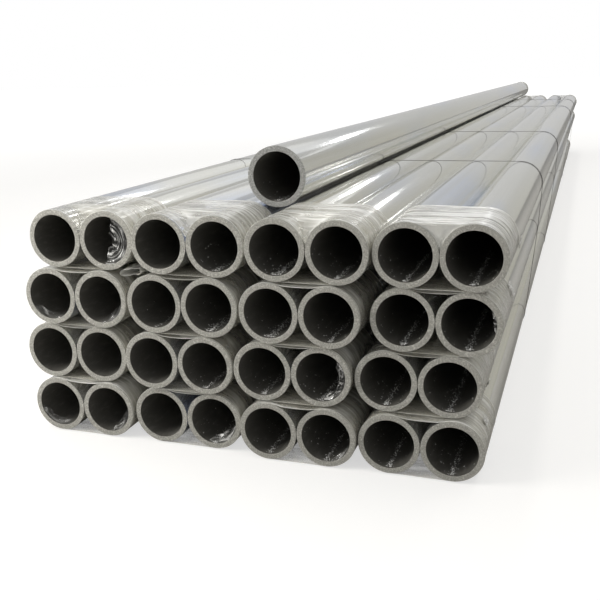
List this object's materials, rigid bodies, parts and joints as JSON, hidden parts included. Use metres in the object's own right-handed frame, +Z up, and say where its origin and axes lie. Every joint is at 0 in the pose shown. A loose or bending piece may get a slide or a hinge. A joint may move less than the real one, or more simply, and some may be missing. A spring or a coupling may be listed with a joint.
{
  "type": "bundle of round aluminium tubes",
  "caption": "Long bundle of round thick-walled aluminium tubes, wound in side-by-side pairs with clear film at the ends, tied with wire, one loose tube on top.",
  "frame": {"origin": "on the floor, under the middle of the bundle's outline", "axes": "+Y along the tubes, away from the end with the set-back loose tube; +X across the rows; +Z up"},
  "size_m": [0.9292, 5.975, 0.5567],
  "materials": {
    "aluminium_tube": "smooth mill-finish extrusion with sawn ends",
    "stretch_film": "many turns of clear stretch film, whitish and glossy",
    "tie_wire": "dark annealed steel wire"
  },
  "bodies": {
    "root": {"tube_row_1_1": "aluminium_tube", "tube_row_1_2": "aluminium_tube", "tube_row_1_3": "aluminium_tube", "tube_row_1_4": "aluminium_tube", "tube_row_1_5": "aluminium_tube", "tube_row_1_6": "aluminium_tube", "tube_row_1_7": "aluminium_tube", "tube_row_1_8": "aluminium_tube", "tube_row_2_1": "aluminium_tube", "tube_row_2_2": "aluminium_tube", "tube_row_2_3": "aluminium_tube", "tube_row_2_4": "aluminium_tube", "tube_row_2_5": "aluminium_tube", "tube_row_2_6": "aluminium_tube", "tube_row_2_7": "aluminium_tube", "tube_row_2_8": "aluminium_tube", "tube_row_3_1": "aluminium_tube", "tube_row_3_2": "aluminium_tube", "tube_row_3_3": "aluminium_tube", "tube_row_3_4": "aluminium_tube", "tube_row_3_5": "aluminium_tube", "tube_row_3_6": "aluminium_tube", "tube_row_3_7": "aluminium_tube", "tube_row_3_8": "aluminium_tube", "tube_row_4_1": "aluminium_tube", "tube_row_4_2": "aluminium_tube", "tube_row_4_3": "aluminium_tube", "tube_row_4_4": "aluminium_tube", "tube_row_4_5": "aluminium_tube", "tube_row_4_6": "aluminium_tube", "tube_row_4_7": "aluminium_tube", "tube_row_4_8": "aluminium_tube", "film_row_1_pair_1": "stretch_film", "film_row_1_pair_2": "stretch_film", "film_row_1_pair_3": "stretch_film", "film_row_1_pair_4": "stretch_film", "film_row_2_pair_1": "stretch_film", "film_row_2_pair_2": "stretch_film", "film_row_2_pair_3": "stretch_film", "film_row_2_pair_4": "stretch_film", "film_row_3_pair_1": "stretch_film", "film_row_3_pair_2": "stretch_film", "film_row_3_pair_3": "stretch_film", "film_row_3_pair_4": "stretch_film", "film_row_4_pair_1": "stretch_film", "film_row_4_pair_2": "stretch_film", "film_row_4_pair_3": "stretch_film", "film_row_4_pair_4": "stretch_film", "tie_wire_1": "tie_wire", "tie_wire_2": "tie_wire", "tie_wire_3": "tie_wire", "tie_wire_4": "tie_wire", "loose_tube": "aluminium_tube", "loose_tube_film": "stretch_film"}
  },
  "joints": []
}
